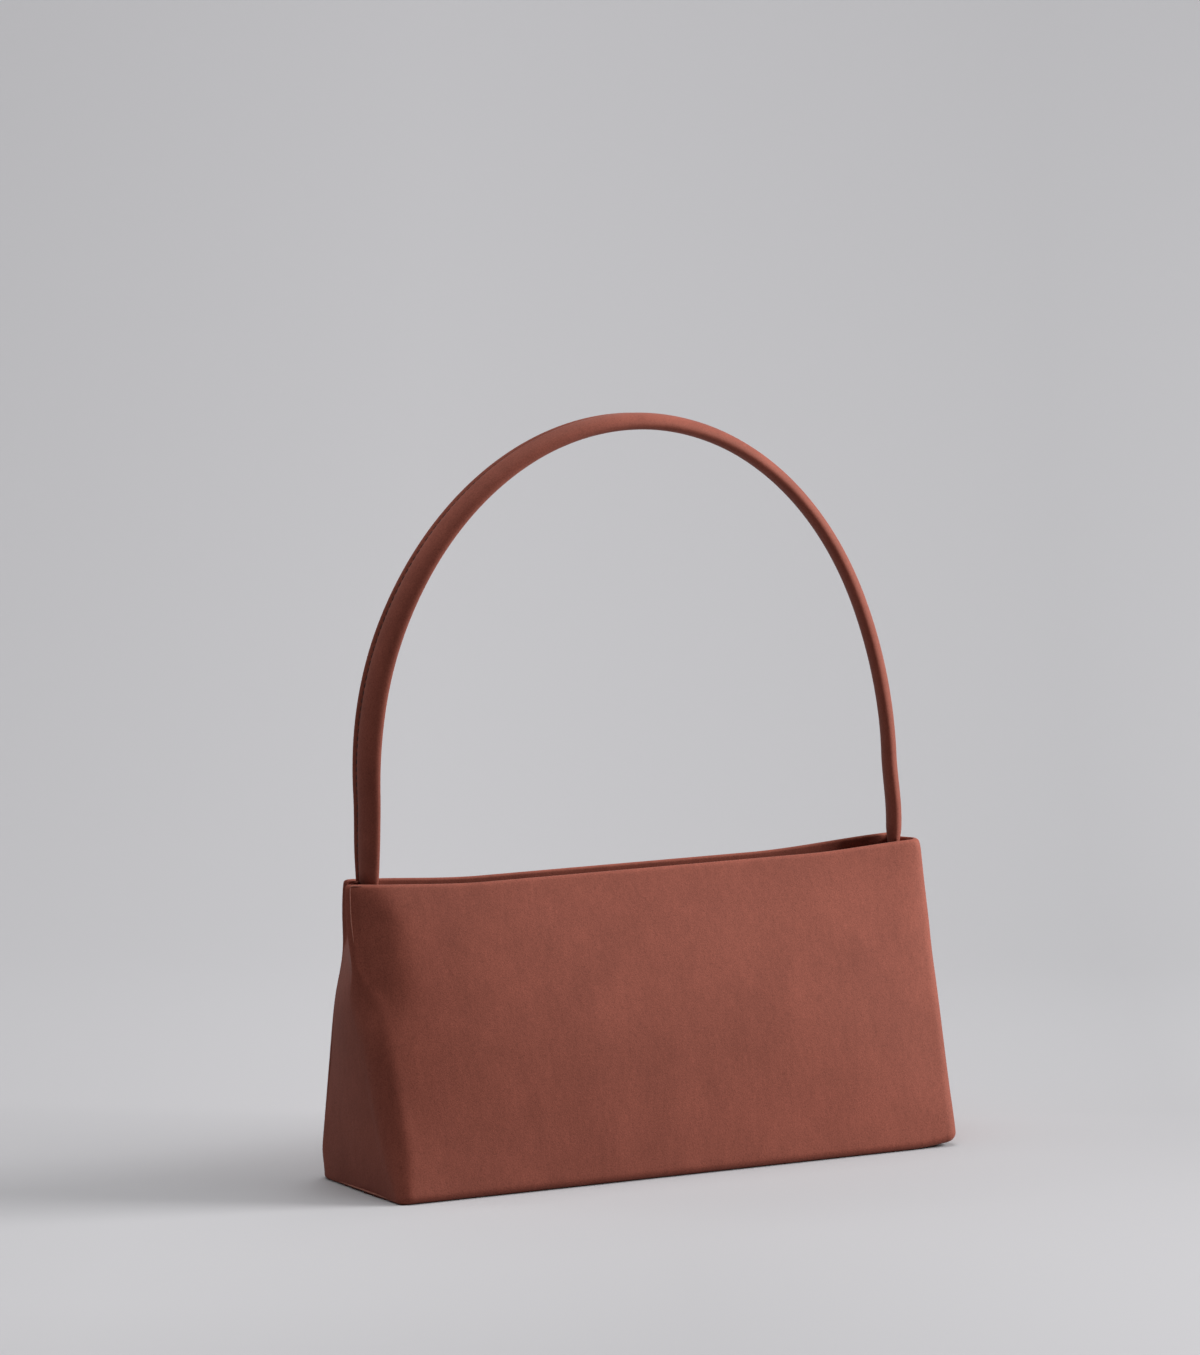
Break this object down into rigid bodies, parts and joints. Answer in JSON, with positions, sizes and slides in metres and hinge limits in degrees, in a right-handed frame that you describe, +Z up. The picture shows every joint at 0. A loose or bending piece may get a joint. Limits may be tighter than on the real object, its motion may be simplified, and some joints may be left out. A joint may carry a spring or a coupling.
{
  "type": "shoulder bag",
  "caption": "Small wedge-shaped suede shoulder bag that stands on its base, with a zip sunk into its mouth and an arched padded handle.",
  "frame": {"origin": "centre of the bag's footprint on the surface it stands on", "axes": "+Z up, +X to the right as seen from the front, -Y out of the front panel"},
  "size_m": [0.286, 0.0762, 0.3245],
  "materials": {
    "suede": "matte chestnut suede with a short nap",
    "handle_suede": "matte chestnut suede, stitched along one edge",
    "facing": "matte chestnut suede, skived thin",
    "lining": "brown twill cloth",
    "backing": "pressed non-woven backing",
    "board": "grey-brown fibre board",
    "zip_tape": "woven brown tape",
    "zip_metal": "dull aged brass",
    "padding": "off-white filler cord"
  },
  "bodies": {
    "bag": {"front_panel": "suede", "back_panel": "suede", "base_panel": "suede", "front_backing": "backing", "back_backing": "backing", "base_board": "board", "front_facing": "facing", "back_facing": "facing", "front_lining": "lining", "back_lining": "lining", "base_lining": "lining", "zip_tape_front": "zip_tape", "zip_tape_back": "zip_tape", "zip_teeth_front": "zip_metal", "zip_teeth_back": "zip_metal", "zip_top_stops": "zip_metal", "zip_bottom_stop": "zip_metal", "zip_end_tab_left": "suede", "zip_end_tab_right": "suede", "handle_tab_left": "handle_suede", "handle_tab_right": "handle_suede"},
    "handle": {"handle_cover": "handle_suede", "handle_core": "padding"},
    "slider": {"zip_slider": "zip_metal"},
    "pull": {"zip_pull": "zip_metal"}
  },
  "joints": [
    {"name": "handle_tip", "type": "hinge", "parent": "bag", "child": "handle", "pos_m": [0, 0.0085, 0.1393], "axis": [1, 0, 0], "range_deg": [-80, 80]},
    {"name": "zip_slide", "type": "slide", "parent": "bag", "child": "slider", "axis": [1, 0, 0], "range_m": [0, 0.202]},
    {"name": "pull_swing", "type": "hinge", "parent": "slider", "child": "pull", "pos_m": [-0.101, 0.00768, 0.12005], "axis": [0, -1, 0], "range_deg": [0, 170]}
  ]
}
